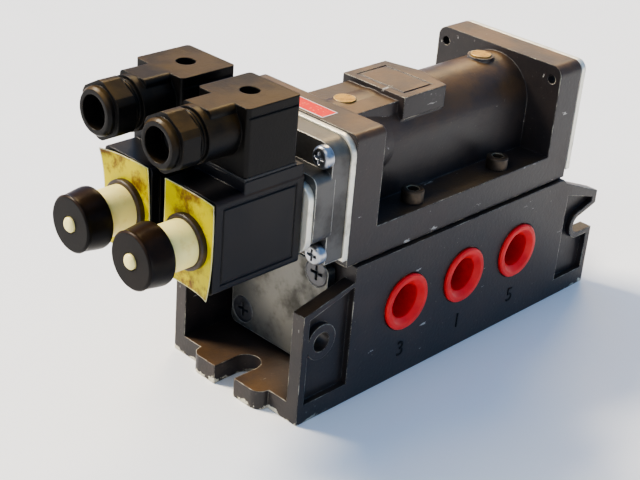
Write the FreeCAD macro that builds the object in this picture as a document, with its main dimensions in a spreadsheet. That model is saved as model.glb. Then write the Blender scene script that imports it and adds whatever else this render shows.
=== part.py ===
import FreeCAD, Part
import math
import os
import re

import Sketcher

# Pilot operated directional valve on its sub-base, with two solenoids side by side at the near end.
# Frame: origin at the centre of the sub-base's underside, +X along the spool to the blank end cover,
# +Z up, and the three plugged ports face -Y.  All sizes are in millimetres.

DIMENSIONS = {
    # sub-base: a cast block with an open well and two ears at each end
    "base_length": 206, "base_width": 79, "base_top": 66,
    "block_near": -74, "block_far": 71, "floor_top": 9, "ear_wall": 6.5,
    "near_ear_tip": 52.6, "near_ear_root": 59, "far_ear_tip": 51.7, "far_ear_root": 63.2,
    "pocket_depth": 3, "pocket_rim": 3.5, "pocket_top": 53,
    "cross_hole_x": -91.7, "cross_hole_z": 37, "cross_hole_radius": 4.5, "cross_ring_radius": 8.2,
    "slot_floor": 31.5, "slot_mouth": 45.2, "slot_throat": 41.5, "slot_end": 86,
    "slot_rim": 2.6, "slot_radius": 5,
    "lip_reach": 5.5, "lip_half": 22, "foot_slot_half": 6.25, "foot_slot_depth": 14,
    # ports
    "port_pitch": 39.5, "port_height": 38, "port_radius": 9.3, "port_depth": 16, "passage_radius": 6.5,
    "port_face_radius": 13.7, "port_face_depth": 0.6,
    # valve body
    "body_near": -79, "body_far": 72, "body_side": -1.5, "body_half": 36.5, "gasket_thick": 1,
    "foot_top": 81.2, "flange_top": 125.4, "near_flange": 16.5, "far_flange": 16, "flange_round": 8,
    "near_round": 3, "far_round": 5,
    "spool_height": 102.5, "barrel_radius": 20, "shoulder_radius": 24.5, "shoulder_length": 26,
    "bore_radius": 13, "land_top": 122, "land_half": 14.5, "land_length": 46,
    "pad_near": -31, "pad_far": -4, "pad_point": 4.5, "pad_half": 18, "pad_top": 124.5,
    "badge_margin": 4, "badge_line": 0.9, "badge_depth": 0.4,
    "plug_near_x": -48.7, "plug_far_x": 42.5, "plug_radius": 4.8, "plug_boss_radius": 6.2,
    "stud_middle": -3, "stud_half_x": 29.2, "stud_half_y": 29,
    # fasteners
    "cap_head_radius": 5, "cap_head_height": 6, "cap_shank_radius": 3, "cap_hole_radius": 3.3,
    "cap_tap_depth": 13, "pan_head_radius": 4.9, "pan_head_height": 3.7,
    "pan_shank_radius": 2.5, "corner_half_y": 31.6, "corner_low": 76.2, "corner_high": 118.5,
    # near end stack, from the near flange outwards
    "adapter_thick": 2.6, "adapter_low": 70.5, "pilot_thick": 10, "pilot_low": 72, "pilot_high": 124,
    "nose_thick": 8.5, "nose_low": 82.5, "nose_high": 112.5, "nose_half": 36,
    "carrier_thick": 3, "carrier_low": 79, "carrier_high": 109.5, "carrier_half": 35.5,
    "cover_thick": 2.8, "cover_gasket": 0.8, "cover_sink_radius": 4.9, "cover_sink_depth": 2.4,
    # pilot chamber plate under the solenoids
    "chamber_plate": 4.2, "chamber_gasket": 0.8, "chamber_low": 11.5, "chamber_high": 62,
    "chamber_half": 28.6, "chamber_screw_y": 21.5, "chamber_screw_low": 20, "chamber_screw_high": 57.5,
    # solenoids
    "coil_pitch": 36.6, "solenoid_height": 94, "coil_near": -148.8, "coil_far": -104, "coil_half": 14.5,
    "coil_low": 76, "coil_high": 115.2, "coil_bore": 8.3, "foot_high": 119.3, "foot_half": 14.2,
    "coil_round": 2.2, "frame_margin": 3.5, "frame_line": 0.8, "frame_depth": 0.4,
    "film_thick": 0.5, "ring_radius": 11.3, "ring_thick": 2.6,
    "tube_radius": 8, "tube_bore": 6.6, "tube_outer_end": -168, "tube_inner_end": -100.5,
    "core_length": 16, "armature_radius": 6.4, "armature_near": -145, "armature_far": -110,
    "armature_travel": 2.5, "override_gap": 2.2, "spring_end_gap": 0.35,
    "armature_spring_radius": 4, "armature_spring_wire": 0.5, "armature_spring_length": 7.6,
    "override_spring_radius": 2.6, "override_spring_wire": 0.3,
    "sleeve_radius": 9.6, "sleeve_near": -165,
    "cap_radius": 12.6, "cap_near": -176.3, "cap_far": -164.3, "pin_radius": 3.1, "pin_reach": 1.5,
    # cable plugs
    "plug_low": 120.6, "plug_high": 148.1, "plug_near_face": -134.8, "plug_far_face": -108.2,
    "plug_half": 14, "plug_wall": 2, "plug_hole": 3.9, "plug_hole_x": -121.4,
    "seam_drop": 4.2, "seam_height": 0.6, "seam_depth": 0.35, "shoulder_round": 2.2,
    "gland_height": 137.1, "neck_radius": 11, "neck_half": 7.8, "neck_near": -150.2,
    "thread_near": -157.5, "thread_radius": 9.6, "cable_radius": 6.8, "nut_near": -165.2, "nut_far": -154,
    "nut_radius": 9.6, "nut_flats": 10.8,
    # spool set
    "spool_sleeve_bore": 8.5, "spool_land": 8.45, "spool_waist": 5, "spool_travel": 6,
    "window_radius": 3.5, "groove_width": 8,
    # shipping plugs in the ports
    "cup_flange": 13.4, "cup_outer": 9, "cup_inner": 8, "cup_mouth": 10.2, "cup_depth": 13, "cup_rim": 2.2,
}

doc = FreeCAD.newDocument("DirectionalValve")
sheet = doc.addObject("Spreadsheet::Sheet", "Dims")
for row, (alias, number) in enumerate(DIMENSIONS.items(), start=1):
    sheet.set(f"A{row}", alias)
    sheet.set(f"B{row}", str(number))
    sheet.setAlias(f"B{row}", alias)
doc.recompute()

ALIAS = re.compile(r"[a-z_]+[a-z]")
X = FreeCAD.Vector(1, 0, 0)
Y = FreeCAD.Vector(0, 1, 0)
Z = FreeCAD.Vector(0, 0, 1)
HIDDEN_TOP = 400


def formula(text):
    """An expression for the sheet: each dimension's name gets the sheet's name before it."""
    return ALIAS.sub(lambda found: "Dims." + found.group(0), str(text))


def size(text):
    """The number that an expression gives now."""
    return float(sheet.evalExpression(formula(text)))


def bind(item, **properties):
    """Tie each property of an object to its expression."""
    for name, text in properties.items():
        item.setExpression(name, formula(text))
    return item


def place(item, at, along=None, lying=Z):
    """Put an object at three expressions, turned so that its own `lying` axis points along a direction."""
    turn = FreeCAD.Rotation(lying, along) if along else FreeCAD.Rotation()
    item.Placement = FreeCAD.Placement(FreeCAD.Vector(), turn)
    for axis, text in zip("xyz", at):
        item.setExpression(f"Placement.Base.{axis}", formula(text))
    return item


def box(low, high):
    """A block between two corners, each three expressions."""
    item = doc.addObject("Part::Box", "Block")
    spans = [f"({top}) - ({bottom})" for bottom, top in zip(low, high)]
    bind(item, Length=spans[0], Width=spans[1], Height=spans[2])
    return place(item, low)


def rod(radius, length, at, along=Z):
    """A cylinder that starts at a point and runs along a direction."""
    item = doc.addObject("Part::Cylinder", "Rod")
    bind(item, Radius=radius, Height=length)
    return place(item, at, along)


def cone(start_radius, end_radius, length, at, along=Z):
    """A cone that starts at a point and runs along a direction."""
    item = doc.addObject("Part::Cone", "Cone")
    bind(item, Radius1=start_radius, Radius2=end_radius, Height=length)
    return place(item, at, along)


def hexagon(flats, length, at, along=Z):
    """A six-sided prism, `flats` from its axis to a flat."""
    item = doc.addObject("Part::Prism", "Hexagon")
    item.Polygon = 6
    bind(item, Circumradius=f"({flats}) / {math.cos(math.pi / 6):.6f}", Height=length)
    return place(item, at, along)


def fuse(*items):
    """Join solids into one."""
    item = doc.addObject("Part::MultiFuse", "Joined")
    item.Shapes = list(items)
    item.Refine = True
    return item


def cut(base, *tools):
    """Take one or more solids away from another."""
    item = doc.addObject("Part::Cut", "Cut")
    item.Base = base
    item.Tool = tools[0] if len(tools) == 1 else fuse(*tools)
    item.Refine = True
    return item


def common(first, second):
    """What two solids share."""
    item = doc.addObject("Part::Common", "Shared")
    item.Base = first
    item.Tool = second
    return item


def group(*items):
    """Several separate solids that are kept as one node."""
    item = doc.addObject("Part::Compound", "Set")
    item.Links = list(items)
    return item


def rounded(base, radius, wanted):
    """Round the straight or curved edges that `wanted` picks."""
    doc.recompute()
    item = doc.addObject("Part::Fillet", "Rounded")
    item.Base = base
    value = size(radius)
    picked = [number for number, edge in enumerate(base.Shape.Edges, start=1) if wanted(edge)]
    if not picked:
        raise RuntimeError(f"no edge to round on {base.Name}")
    item.Edges = [(number, value, value) for number in picked]
    return item


def runs_along(direction):
    """A test for straight edges that run along a direction."""
    def test(edge):
        if edge.Curve.TypeId != "Part::GeomLine":
            return False
        return abs(edge.tangentAt(edge.FirstParameter).dot(direction)) > 0.999
    return test


def outline(body, name, role, corners):
    """A closed sketch of straight lines whose corners are pairs of expressions."""
    sketch = body.newObject("Sketcher::SketchObject", name)
    sketch.AttachmentSupport = [(next(f for f in body.Origin.OriginFeatures if f.Role == role), "")]
    sketch.MapMode = "FlatFace"
    points = [FreeCAD.Vector(size(across), size(up), 0) for across, up in corners]
    count = len(points)
    for index in range(count):
        sketch.addGeometry(Part.LineSegment(points[index], points[(index + 1) % count]))
    for index in range(count):
        sketch.addConstraint(Sketcher.Constraint("Coincident", index, 2, (index + 1) % count, 1))
    for index, (across, up) in enumerate(corners):
        for kind, text, zero_axis in (("DistanceX", across, -2), ("DistanceY", up, -1)):
            if size(text) == 0:
                sketch.addConstraint(Sketcher.Constraint("PointOnObject", index, 1, zero_axis))
                continue
            number = sketch.addConstraint(Sketcher.Constraint(kind, -1, 1, index, 1, size(text)))
            sketch.setExpression(f"Constraints[{number}]", formula(text))
    return sketch


def turned(name, corners, at, along=X):
    """A turned piece: the outline gives distance along the axis and radius, and is spun round its own X."""
    body = doc.addObject("PartDesign::Body", name + "_body")
    sketch = outline(body, name + "_outline", "XY_Plane", corners)
    spin = body.newObject("PartDesign::Revolution", name + "_spin")
    spin.Profile = sketch
    spin.ReferenceAxis = (sketch, ["H_Axis"])
    spin.Angle = 360
    return place(body, at, along, X)


def plate(name, role, corners, thickness, at):
    """A flat piece: a sketched outline padded by equal amounts to both sides of its plane."""
    body = doc.addObject("PartDesign::Body", name + "_body")
    sketch = outline(body, name + "_outline", role, corners)
    pad = body.newObject("PartDesign::Pad", name + "_pad")
    pad.Profile = sketch
    pad.SideType = "Symmetric"
    bind(pad, Length=thickness)
    return place(body, at)


def coil_spring(name, mean_radius, wire_radius, length, turns, at):
    """A helical spring of round wire that stands along X from its first end."""
    path = Part.makeLongHelix(size(length) / turns, size(length), size(mean_radius))
    section = Part.Wire([Part.makeCircle(size(wire_radius), FreeCAD.Vector(size(mean_radius), 0, 0), Y)])
    item = doc.addObject("Part::Feature", name)
    item.Shape = Part.Wire(path).makePipeShell([section], True, True)
    return place(item, at, X)


NODES = []


def node(name, item):
    """Name a finished piece."""
    item.Label = name
    NODES.append(item)
    return item


# ---------------------------------------------------------------- sub-base
def sub_base():
    half = "base_length / 2"
    slot_middle = "(slot_floor + slot_throat) / 2"
    slot_centre = "slot_end + slot_radius"
    port_face = "-(base_width / 2) - 1"
    side = plate("base_side", "XZ_Plane", [
        (f"-({half})", "0"), (half, "0"), (half, "far_ear_tip"), ("block_far + 3", "far_ear_root"),
        ("block_far", "base_top"), ("block_near", "base_top"), ("block_near", "near_ear_root"),
        (f"-({half})", "near_ear_tip"),
    ], "base_width", ("0", "0", "0"))
    inner = "base_width / 2 - ear_wall"
    lips = [
        rounded(box((f"{sign} * ({half}) + {low}", "-lip_half", "0"),
                    (f"{sign} * ({half}) + {high}", "lip_half", "floor_top")),
                "lip_reach - 0.2", lambda edge, sign=sign: runs_along(Z)(edge)
                and sign * edge.CenterOfMass.x > size(half))
        for sign, low, high in ((-1, "(0 - lip_reach)", "6"), (1, "(0 - 6)", "lip_reach"))
    ]
    blank = fuse(side, *lips)
    wells = [
        box((f"-({half}) - 1", f"-({inner})", "floor_top"), ("block_near", inner, str(HIDDEN_TOP))),
        box(("block_far", f"-({inner})", "floor_top"), (f"{half} + 1", inner, str(HIDDEN_TOP))),
    ]
    cuts = list(wells)
    rings = []
    for sign in (-1, 1):
        outer = f"{sign} * base_width / 2"
        inner_face = f"{sign} * (base_width / 2 - pocket_depth)"
        low_y, high_y = (outer, inner_face) if sign < 0 else (inner_face, outer)
        over = f"({low_y}) - {1 if sign < 0 else 0}", f"({high_y}) + {1 if sign > 0 else 0}"
        near_pocket = plate(f"near_pocket_{sign + 1}", "XZ_Plane", [
            (f"-({half}) + pocket_rim", "floor_top"), ("block_near", "floor_top"),
            ("block_near", "pocket_top + 4"), (f"-({half}) + pocket_rim", "pocket_top - 3"),
        ], "2 * pocket_depth", ("0", outer, "0"))
        far_pocket = plate(f"far_pocket_{sign + 1}", "XZ_Plane", [
            ("block_far + 6", "floor_top"), (f"{half} - pocket_rim", "floor_top"),
            (f"{half} - pocket_rim", "pocket_top - 4"), ("block_far + 6", "pocket_top + 3"),
        ], "2 * pocket_depth", ("0", outer, "0"))
        rim = fuse(rod("slot_radius + slot_rim", "pocket_depth + 1", (slot_centre, over[0], slot_middle), Y),
                   plate(f"slot_rim_{sign + 1}", "XZ_Plane", [
                       (f"{half} + 1", "slot_floor - slot_rim"), (f"{half} + 1", "slot_mouth + slot_rim"),
                       (slot_centre, "slot_throat + slot_rim"), (slot_centre, "slot_floor - slot_rim"),
                   ], "2 * pocket_depth", ("0", outer, "0")))
        ring_start = port_face if sign < 0 else "base_width / 2 - pocket_depth - 1"
        ring = rod("cross_ring_radius", "pocket_depth + 2", ("cross_hole_x", ring_start, "cross_hole_z"), Y)
        cuts += [cut(near_pocket, ring), cut(far_pocket, rim)]
        rings.append(ring)
    slots = [
        plate("ear_slot", "XZ_Plane", [
            (f"{half} + 1", "slot_floor"), (f"{half} + 1", "slot_mouth"),
            (slot_centre, "slot_throat"), (slot_centre, "slot_floor"),
        ], "base_width + 2", ("0", "0", "0")),
        rod("slot_radius", "base_width + 2", (slot_centre, port_face, slot_middle), Y),
        rod("cross_hole_radius", "base_width + 2", ("cross_hole_x", port_face, "cross_hole_z"), Y),
    ]
    for sign in (-1, 1):
        centre = f"{sign} * ({half} - foot_slot_depth + foot_slot_half)"
        tip = f"{sign} * ({half} + lip_reach + 1)"
        low_x, high_x = (tip, centre) if sign < 0 else (centre, tip)
        slots += [
            rod("foot_slot_half", "floor_top + 2", (centre, "0", "-1"), Z),
            box((low_x, "-foot_slot_half", "-1"), (high_x, "foot_slot_half", "floor_top + 1")),
        ]
    for number in (-2, -1, 0, 1, 2):
        x = f"{number} / 2 * port_pitch"
        facing = -1 if number % 2 == 0 else 1
        out = Y if facing < 0 else -Y
        face = f"{facing} * base_width / 2"
        slots += [
            rod("port_radius", "port_depth + 1", (x, f"({face}) + {facing}", "port_height"), out),
            rod("port_face_radius", "port_face_depth + 1", (x, f"({face}) + {facing}", "port_height"), out),
            rod("passage_radius", "base_width / 2", (x, face, "port_height"), out),
            rod("passage_radius", "base_top - port_height + 1", (x, "0", "port_height"), Z),
        ]
    for sign_x in (-1, 1):
        for sign_y in (-1, 1):
            stud = (f"stud_middle + {sign_x} * stud_half_x", f"body_side + {sign_y} * stud_half_y")
            slots.append(rod("cap_shank_radius", "cap_tap_depth + 1", (*stud, "base_top - cap_tap_depth"), Z))
        slots += [
            rod("2.1", "12", ("block_near - 1", f"{sign_x} * chamber_screw_y",
                              f"(chamber_screw_low + chamber_screw_high) / 2"
                              f" - {sign_x} * (chamber_screw_high - chamber_screw_low) / 2"), X),
            rod("3", "20", ("block_near - 1", f"{sign_x} * 12", "base_top - 12"), X),
            rod("2.5", "12.5", ("block_near + 17", f"{sign_x} * 12", "base_top - 12"), Z),
        ]
    doc.recompute()
    return node("sub_base", cut(cut(blank, *cuts), *slots))


sub_base()

# ---------------------------------------------------------------- pilot chamber plate in the near well
chamber_screws = (("-chamber_screw_y", "chamber_screw_high"), ("chamber_screw_y", "chamber_screw_low"))
gasket_face = "block_near - chamber_gasket"
plate_face = "block_near - chamber_gasket - chamber_plate"


def lower_end_plate():
    flat = box((plate_face, "-chamber_half", "chamber_low"), (gasket_face, "chamber_half", "chamber_high"))
    blank = rounded(flat, "3", runs_along(X))
    holes = []
    for y, z in chamber_screws:
        holes += [rod("2.7", "chamber_plate + 2", (f"{plate_face} - 1", y, z), X),
                  cone("6.6", "2.8", "3.3", (plate_face, y, z), X)]
    return node("lower_end_plate", cut(blank, *holes))


def lower_end_gasket():
    sheet_part = box((gasket_face, "-chamber_half + 1", "chamber_low + 1"),
                     ("block_near", "chamber_half - 1", "chamber_high - 1"))
    holes = [rod("2.9", "chamber_gasket + 2", (f"{gasket_face} - 1", y, z), X) for y, z in chamber_screws]
    holes += [rod("3.5", "chamber_gasket + 2", (f"{gasket_face} - 1", f"{sign} * 12", "base_top - 12"), X)
              for sign in (-1, 1)]
    return node("lower_end_gasket", cut(sheet_part, *holes))


def countersunk_screw(y, z):
    head = cone("6.4", "2.6", "3.2", (f"{plate_face} + 0.1", y, z), X)
    shank = rod("2.1", "13", (f"{plate_face} + 1", y, z), X)
    cross = cross_recess((f"{plate_face} - 0.4", y, z), X, "3.4")
    return cut(fuse(head, shank), cross)


def cross_recess(at, along, reach):
    """The cross-shaped recess of a screw head, cut 2 mm deep from a point along X."""
    depth = 2
    x, y, z = at
    far = f"({x}) + {depth}" if along == X else f"({x})"
    near = f"({x})" if along == X else f"({x}) - {depth}"
    upright = box((near, f"({y}) - 0.6", f"({z}) - {reach}"), (far, f"({y}) + 0.6", f"({z}) + {reach}"))
    level = box((near, f"({y}) - {reach}", f"({z}) - 0.6"), (far, f"({y}) + {reach}", f"({z}) + 0.6"))
    return fuse(upright, level)


lower_end_plate()
lower_end_gasket()
node("lower_plate_screws", group(*[countersunk_screw(y, z) for y, z in chamber_screws]))


# ---------------------------------------------------------------- valve body
def body_box(low_x, high_x, low_z, high_z, half="body_half"):
    return box((low_x, f"body_side - ({half})", low_z), (high_x, f"body_side + ({half})", high_z))


def upright_flange(low_x, high_x, low_z, high_z, half="body_half", corner="flange_round"):
    """A flange plate across the body, with its two upper corners rounded."""
    blank = body_box(low_x, high_x, low_z, high_z, half)
    return rounded(blank, corner,
                   lambda edge: runs_along(X)(edge) and edge.CenterOfMass.z > size(high_z) - 0.01)


studs = [(f"stud_middle + {sx} * stud_half_x", f"body_side + {sy} * stud_half_y")
         for sx in (-1, 1) for sy in (-1, 1)]
corners = [(f"body_side + {sy} * corner_half_y", z)
           for sy in (-1, 1) for z in ("corner_low", "corner_high")]
body_low = "base_top + gasket_thick"


def frame_groove(low, high, bottom, line):
    """A plain rectangular line to engrave in a level face, 2 mm high from its bottom."""
    outer = box((*low, bottom), (*high, f"{bottom} + 2"))
    inner = box((f"{low[0]} + {line}", f"{low[1]} + {line}", bottom),
                (f"{high[0]} - {line}", f"{high[1]} - {line}", f"{bottom} + 2"))
    return cut(outer, inner)


def valve_body():
    spool_axis = ("body_side", "spool_height")
    foot = body_box("body_near", "body_far", body_low, "foot_top")
    near = upright_flange("body_near", "body_near + near_flange", body_low, "flange_top",
                          corner="near_round")
    far = upright_flange("body_far - far_flange", "body_far", body_low, "flange_top", corner="far_round")
    inner_near = "body_near + near_flange - 6"
    inner_far = "body_far - far_flange + 6"
    barrel = rod("barrel_radius", f"({inner_far}) - ({inner_near})", (inner_near, *spool_axis), X)
    web = body_box(inner_near, inner_far, "foot_top - 4", "spool_height", "barrel_radius")
    shoulder = cone("shoulder_radius", "barrel_radius", "shoulder_length",
                    ("body_near + near_flange - 0.5", *spool_axis), X)
    shoulder = common(shoulder, body_box("body_near", "body_far", "foot_top", "land_top"))
    land = body_box(inner_near, f"{inner_near} + land_length", "spool_height", "land_top", "land_half")
    pad = plate("pad", "XY_Plane", [
        ("pad_near", "-pad_half"), ("pad_far", "-pad_half"), ("pad_far + pad_point", "0"),
        ("pad_far", "pad_half"), ("pad_near", "pad_half"),
    ], "10", ("0", "body_side", "pad_top - 5"))
    pad_root = body_box("pad_near", "pad_far", "spool_height", "pad_top - 5", "pad_half - 1")
    boss = rod("plug_boss_radius", "20", ("plug_far_x", "body_side", "land_top - 18.5"), Z)
    solid = fuse(foot, near, far, barrel, web, shoulder, land, pad, pad_root, boss)
    groove = frame_groove(("pad_near + badge_margin", "body_side - pad_half + badge_margin"),
                          ("pad_far - badge_margin", "body_side + pad_half - badge_margin"),
                          "pad_top - badge_depth", "badge_line")
    holes = [groove, rod("bore_radius", "body_far - body_near + 2", ("body_near - 1", *spool_axis), X)]
    for number in (-2, -1, 0, 1, 2):
        holes.append(rod("passage_radius", "spool_height - base_top - 4",
                         (f"{number} / 2 * port_pitch", "body_side + 1.5", "base_top"), Z))
    for x, y in studs:
        holes.append(rod("cap_hole_radius", "20", (x, y, "base_top"), Z))
    for y, z in corners:
        holes.append(rod("2.1", "13", ("body_near - 1", y, z), X))
        holes.append(rod("2.1", "far_flange + 2", ("body_far - far_flange - 1", y, z), X))
    for x, top in (("plug_near_x", "land_top"), ("plug_far_x", "land_top + 1.5")):
        holes.append(rod("plug_radius", "12", (x, "body_side", f"{top} - 5"), Z))
    for sign in (-1, 1):
        holes.append(rod("2.5", "30", ("block_near + 17", f"{sign} * 12", "base_top"), Z))
    return node("valve_body", cut(solid, *holes))


def body_gasket():
    flat = body_box("block_near + 1", "block_far - 1", "base_top", body_low, "body_half - 1")
    holes = [rod("passage_radius + 0.6", "3", (f"{number} / 2 * port_pitch", "0", "base_top - 1"), Z)
             for number in (-2, -1, 0, 1, 2)]
    holes += [rod("cap_hole_radius", "3", (x, y, "base_top - 1"), Z) for x, y in studs]
    holes += [rod("3", "3", ("block_near + 17", f"{sign} * 12", "base_top - 1"), Z) for sign in (-1, 1)]
    return node("body_gasket", cut(flat, *holes))


def cap_screw(x, y):
    head = rod("cap_head_radius", "cap_head_height", (x, y, "foot_top"), Z)
    shank = rod("cap_shank_radius", "foot_top - base_top + cap_tap_depth - 1",
                (x, y, "base_top - cap_tap_depth + 1"), Z)
    socket = hexagon("2.5", "5", (x, y, "foot_top + cap_head_height - 3.5"), Z)
    head = rounded(head, "0.8", lambda edge: edge.Curve.TypeId == "Part::GeomCircle"
                   and edge.CenterOfMass.z > size("foot_top") + 1)
    return cut(fuse(head, shank), socket)


def passage_plug(x, top):
    """A brass expander plug pressed into the top of a drilled passage."""
    return rod("plug_radius", "5.6", (x, "body_side", f"{top} - 5"), Z)


def type_label():
    return box(("body_near + 1.5", "body_side - 15", "flange_top"),
               ("body_near + 10.5", "body_side + 15", "flange_top + 0.15"))


valve_body()
body_gasket()
node("body_screws", group(*[cap_screw(x, y) for x, y in studs]))
node("brass_passage_plugs", group(passage_plug("plug_near_x", "land_top"),
                                  passage_plug("plug_far_x", "land_top + 1.5")))
node("type_label", type_label())


# ---------------------------------------------------------------- spool set
spool_near = "body_near + 6"
spool_far = "body_far - 6"
spool_rest = "body_near + 8"
SPOOL_SEALS = (-66, -45.5, -10.9, 23.1, 51)
SLEEVE_RINGS = (-49, -30, -10, 10, 30, 49)


def spool_sleeve():
    length = f"({spool_far}) - ({spool_near})"
    tube = turned("sleeve", [
        ("0", "spool_sleeve_bore"), (length, "spool_sleeve_bore"), (length, "bore_radius"), ("0", "bore_radius"),
    ], (spool_near, "body_side", "spool_height"))
    tools = []
    for number in (-2, -1, 0, 1, 2):
        x = f"{number} / 2 * port_pitch"
        tools.append(cut(rod("bore_radius + 1", "groove_width", (f"{x} - groove_width / 2", "body_side",
                                                                "spool_height"), X),
                         rod("bore_radius - 2", "groove_width", (f"{x} - groove_width / 2", "body_side",
                                                                "spool_height"), X)))
        through = "2 * bore_radius + 2"
        tools += [rod("window_radius", through, (x, "body_side", "spool_height - bore_radius - 1"), Z),
                  rod("window_radius", through, (x, "body_side - bore_radius - 1", "spool_height"), Y)]
    for step in SLEEVE_RINGS:
        tools.append(cut(rod("bore_radius + 1", "2.6", (f"{step} - 1.3", "body_side", "spool_height"), X),
                         rod("bore_radius - 1.7", "2.6", (f"{step} - 1.3", "body_side", "spool_height"), X)))
    return node("spool_sleeve", cut(tube, *tools))


def flat_ring(outer, inner, width, x, y, z):
    """A ring round the X axis that starts at x."""
    return cut(rod(outer, width, (x, y, z), X), rod(inner, f"{width} + 2", (f"({x}) - 1", y, z), X))


def spool():
    length = f"({spool_far}) - ({spool_near}) - spool_travel - 4"
    shaft = rod("spool_land", length, (spool_rest, "body_side", "spool_height"), X)
    grooves = []
    for low, high in ((-41, -13), (-7, 21), (27, 48)):
        ring = cut(rod("spool_land + 1", str(high - low), (str(low), "body_side", "spool_height"), X),
                   rod("spool_waist", str(high - low), (str(low), "body_side", "spool_height"), X))
        grooves.append(ring)
    for step in SPOOL_SEALS:
        grooves.append(cut(rod("spool_land + 1", "1.8", (str(step), "body_side", "spool_height"), X),
                           rod("spool_land - 1.2", "1.8", (str(step), "body_side", "spool_height"), X)))
    return node("spool", cut(shaft, *grooves))


spool_sleeve()
spool()
node("spool_seals", group(*[flat_ring("spool_land", "spool_land - 1.2", "1.8", str(step), "body_side",
                                      "spool_height") for step in SPOOL_SEALS]))
node("sleeve_o_rings", group(*[flat_ring("bore_radius", "bore_radius - 1.7", "2.6", f"{step} - 1.3",
                                         "body_side", "spool_height") for step in SLEEVE_RINGS]))


# ---------------------------------------------------------------- pilot block and plates at the near end
adapter_near = "body_near - adapter_thick"
pilot_near = f"{adapter_near} - pilot_thick"
nose_near = f"{pilot_near} - nose_thick"
carrier_near = f"{nose_near} - carrier_thick"
port_side = "body_side - coil_pitch / 2"
blind_side = "body_side + coil_pitch / 2"
SOLENOIDS = (("1", port_side), ("2", blind_side))


def adapter_plate():
    flat = upright_flange(adapter_near, "body_near", "adapter_low", "flange_top - 0.6")
    holes = [rod("2.7", "10", (f"{adapter_near} - 1", y, z), X) for y, z in corners]
    holes.append(rod("7", "10", (f"{adapter_near} - 1", "body_side", "spool_height"), X))
    return node("adapter_plate", cut(flat, *holes))


def pilot_block():
    rear = upright_flange(pilot_near, adapter_near, "pilot_low", "pilot_high", "body_half - 0.8")
    nose = rounded(box((nose_near, "body_side - nose_half", "nose_low"),
                       (f"{pilot_near} + 2", "body_side + nose_half", "nose_high")),
                   "4", runs_along(X))
    holes = [rod("2.7", "14", (f"{pilot_near} - 1", y, z), X) for y, z in corners]
    holes += [rod("1.5", "pilot_thick + nose_thick + 2", (f"{nose_near} - 1", y, "solenoid_height"), X)
              for _, y in SOLENOIDS]
    holes += [rod("11", "3", (f"{nose_near} - 1", y, "solenoid_height"), X) for _, y in SOLENOIDS]
    return node("pilot_block", cut(fuse(rear, nose), *holes))


def pan_screw(x, y, z):
    head = rounded(rod("pan_head_radius", "pan_head_height", (f"({x}) - pan_head_height", y, z), X), "2",
                   lambda edge: edge.Curve.TypeId == "Part::GeomCircle"
                   and edge.CenterOfMass.x < size(x) - 1)
    shank = rod("pan_shank_radius - 0.4", "pilot_thick + adapter_thick + 10", (x, y, z), X)
    return cut(fuse(head, shank), cross_recess((f"({x}) - pan_head_height - 0.5", y, z), X, "2.6"))


def solenoid_plate():
    flat = rounded(box((carrier_near, "body_side - carrier_half", "carrier_low"),
                       (nose_near, "body_side + carrier_half", "carrier_high")),
                   "flange_round - 1", runs_along(X))
    holes = [rod("tube_radius + 0.05", "20", (f"{carrier_near} - 5", y, "solenoid_height"), X)
             for _, y in SOLENOIDS]
    return node("solenoid_plate", cut(flat, *holes))


adapter_plate()
pilot_block()
node("pilot_block_screws", group(*[pan_screw(pilot_near, y, z) for y, z in corners]))
solenoid_plate()


# ---------------------------------------------------------------- far end cover
cover_near = "body_far + cover_gasket"


def far_end_cover():
    flat = upright_flange(cover_near, f"{cover_near} + cover_thick", "adapter_low", "flange_top - 0.3",
                          corner="far_round")
    holes = [rod("2.7", "10", ("body_far - 1", y, z), X) for y, z in corners]
    holes += [cone("2.7", "cover_sink_radius + 0.1", "cover_sink_depth",
                   (f"{cover_near} + cover_thick - cover_sink_depth", y, z), X) for y, z in corners]
    return node("far_end_cover", cut(flat, *holes))


def far_cover_gasket():
    flat = upright_flange("body_far", cover_near, "adapter_low + 0.6", "flange_top - 1.2", "body_half - 0.8",
                          "far_round")
    holes = [rod("2.7", "10", ("body_far - 1", y, z), X) for y, z in corners]
    holes.append(rod("bore_radius - 3", "10", ("body_far - 1", "body_side", "spool_height"), X))
    return node("far_cover_gasket", cut(flat, *holes))


def cover_screw(y, z):
    """A countersunk screw, flush with the outside of the cover."""
    face = f"{cover_near} + cover_thick"
    head = cone("2.5", "cover_sink_radius", "cover_sink_depth - 0.1", (f"{face} - cover_sink_depth", y, z), X)
    shank = rod("pan_shank_radius - 0.4", "15", (f"{face} - 15.5", y, z), X)
    return cut(fuse(head, shank), cross_recess((f"{face} + 1", y, z), -X, "2.6"))


far_end_cover()
far_cover_gasket()
node("far_cover_screws", group(*[cover_screw(y, z) for y, z in corners]))


# ---------------------------------------------------------------- shipping plugs in the near ports
def port_plug(x):
    """A moulded cup with a round flange: it is pushed into the thread of a port."""
    cup = turned(f"port_plug_{x + 2}", [
        ("0", "0"), ("1.5", "0"), ("1.5", "cup_inner - 1"), ("2.6", "cup_inner"), ("cup_depth", "cup_inner"),
        ("cup_depth + cup_rim - 0.4", "cup_mouth"), ("cup_depth + cup_rim", "cup_mouth + 0.6"),
        ("cup_depth + cup_rim", "cup_flange - 0.7"), ("cup_depth + cup_rim - 0.7", "cup_flange"),
        ("cup_depth", "cup_flange"), ("cup_depth", "cup_outer"), ("2", "cup_outer"), ("0", "cup_outer - 1.5"),
    ], (f"{x} / 2 * port_pitch", "-(base_width / 2) + port_face_depth + cup_depth", "port_height"), -Y)
    return cup


node("port_plugs", group(*[port_plug(number) for number in (-2, 0, 2)]))


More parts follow.
